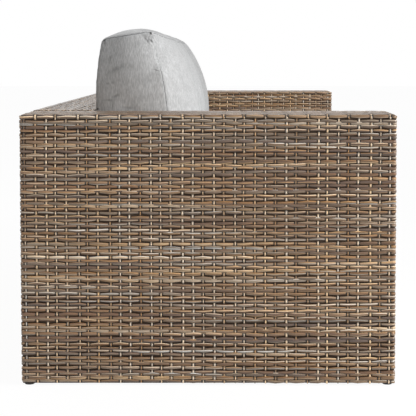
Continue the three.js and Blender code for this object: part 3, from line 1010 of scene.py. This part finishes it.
startShare = backCushion["startShare"]
acrossSlub, _, alongSlub = fabric["slub"]
pads = {
    "back": {
        "look": backCushion,
        "master": cushionPiece("backMaster", backCushion, lambda grid: backForm(grid, startShare), holdBack),
        "cloth": fabricFinish("back_fabric", fabric["slub"], fabric["paintedCreases"]),
    },
    "seat": {
        "look": seatCushion, "master": cushionPiece("seatMaster", seatCushion, seatForm, holdSeat),
        "cloth": fabricFinish("seat_fabric", (acrossSlub, alongSlub, acrossSlub)),
    },
}
for order, (side, x) in enumerate(seatPlaces.items()):
    for turn, (kind, pad) in enumerate(pads.items()):
        piece = addObject(f"{side}_{kind}_pad", pad["master"].data.copy())
        size, fill = pad["look"]["extent"], pad["look"]["fill"]
        finishCushion(piece, size, sewnDetails(sewing["seed"] + order * 2 + turn, size), pad["cloth"])
        piece.data.transform(Matrix.Translation((x, 0, 0)))
        node = f"{side}_{kind}_cushion"
        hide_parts(node)
        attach(piece, node)
for pad in pads.values():
    bpy.data.objects.remove(pad["master"])
print("cushions sewn")

# Frame tubes, glides and bolts keep their CAD meshes

metals = {
    "frame_tube": {
        "base": (0.07, 0.05, 0.036), "worn": (0.11, 0.082, 0.06), "metal": 0.0, "rough": 0.42,
        "grain": 900.0},
    "glide_plastic": {
        "base": (0.012, 0.011, 0.01), "worn": (0.04, 0.037, 0.034), "metal": 0.0, "rough": 0.55,
        "grain": 1400.0},
    "bolt_steel": {
        "base": (0.42, 0.425, 0.43), "worn": (0.62, 0.625, 0.63), "metal": 1.0, "rough": 0.32,
        "grain": 2500.0},
}
wear = {"patch": 22.0, "patchShare": 0.7, "roughSpread": 0.25, "bump": 0.15, "bumpDepth": 0.0003}


def hardFinish(name, look):
    finish = Finish(bpy.data.materials.new(name), Metallic=look["metal"])
    spot = finish.objectPlace()
    grain = finish.noise(spot, look["grain"], 2.0)
    patches = finish.noise(spot, wear["patch"], 4.0, 0.6)
    worn = (patches * wear["patchShare"] + grain * (1 - wear["patchShare"])).within()
    finish.feed(finish.shader, {
        "Base Color": finish.mix(worn, (*look["base"], 1), (*look["worn"], 1)),
        "Roughness": look["rough"] + (patches - 0.5) * wear["roughSpread"],
        "Normal": finish.bump(grain, wear["bump"], wear["bumpDepth"]),
    })
    return finish.owner


hardFinishes = {name: hardFinish(name, look) for name, look in metals.items()}
for name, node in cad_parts.items():
    if node.hide_render:
        continue
    kind = ("glide_plastic" if name.endswith("glide") else
            "bolt_steel" if name.endswith("bolt") else "frame_tube")
    for slot in node.material_slots:
        slot.material = hardFinishes[kind]
print("frame finished")

# Camera, light and floor

cameraLook = {"place": (-4.08, -0.0533, 0.7803), "pitch": 3.4, "lens": 110.66, "shift": (-0.0546, -0.1811)}
camera = addObject("camera", bpy.data.cameras.new("camera"))
camera.location = cameraLook["place"]
camera.rotation_euler = (math.radians(90 - cameraLook["pitch"]), 0, math.radians(-90))
camera.data.lens = cameraLook["lens"]
camera.data.shift_x, camera.data.shift_y = cameraLook["shift"]
scene.camera = camera

lamps = {
    "key": {"place": (-1.75, -3.7, 1.9), "aim": (-0.6, 0, 0.4), "size": 2.2, "power": 43.6, "spread": 90},
    "side": {"place": (-4.6, 0.6, 2.6), "aim": (0, 0, 0.4), "size": 2.4, "power": 6, "spread": 180},
    "rear": {"place": (2.0, 4.0, 3.0), "aim": (0, 0, 0.4), "size": 3.0, "power": 18, "spread": 180},
}
studio = {"world": 0.38, "floorGrey": 0.76, "floorGlow": 0.9, "floorWhite": 1.05, "floorHalf": 30}
plainWhite = (1, 1, 1, 1)
for name, look in lamps.items():
    lamp = bpy.data.lights.new(name, "AREA")
    lamp.shape = "DISK"
    lamp.size = look["size"]
    lamp.energy = look["power"]
    lamp.spread = math.radians(look["spread"])
    light = addObject(name, lamp)
    light.location = look["place"]
    light.rotation_euler = (Vector(look["aim"]) - light.location).to_track_quat("-Z", "Y").to_euler()


def splitRays(finish, lit, seen, output):
    # The seen shader for camera, glossy and transmission rays, and the lit one for all others
    ray = finish.node("ShaderNodeLightPath", out="Is Camera Ray")
    direct = ray.maths("MAXIMUM", ray.other("Is Glossy Ray"))
    direct = direct.maths("MAXIMUM", ray.other("Is Transmission Ray"))
    mixed = finish.node("ShaderNodeMixShader", {}, {0: direct, 1: lit, 2: seen})
    finish.feed(finish.tree.nodes[output], {"Surface": mixed})


world = bpy.data.worlds.new("studio")
scene.world = world
sky = Finish(world, "Background", Color=plainWhite, Strength=studio["world"])
clearSky = sky.node("ShaderNodeBackground", {}, {"Color": plainWhite})
splitRays(sky, Flow(sky, sky.shader.outputs[0]), clearSky, "World Output")

floorShape = bmesh.new()
bmesh.ops.create_grid(floorShape, x_segments=1, y_segments=1, size=studio["floorHalf"])
floor = addObject("floor", meshOf("floor", floorShape))
ground = Finish(bpy.data.materials.new("floor"), Base_Color=(*[studio["floorGrey"]] * 3, 1), Roughness=0.9)
plain = Flow(ground, ground.shader.outputs[0])
glow = ground.node("ShaderNodeEmission", {}, {"Color": plainWhite, "Strength": studio["floorWhite"]})
glowing = ground.node("ShaderNodeMixShader", {}, {0: studio["floorGlow"], 1: plain, 2: glow})
splitRays(ground, plain, glowing, "Material Output")
floor.data.materials.append(ground.owner)

scene.view_settings.view_transform = "Standard"
print("camera and light set")
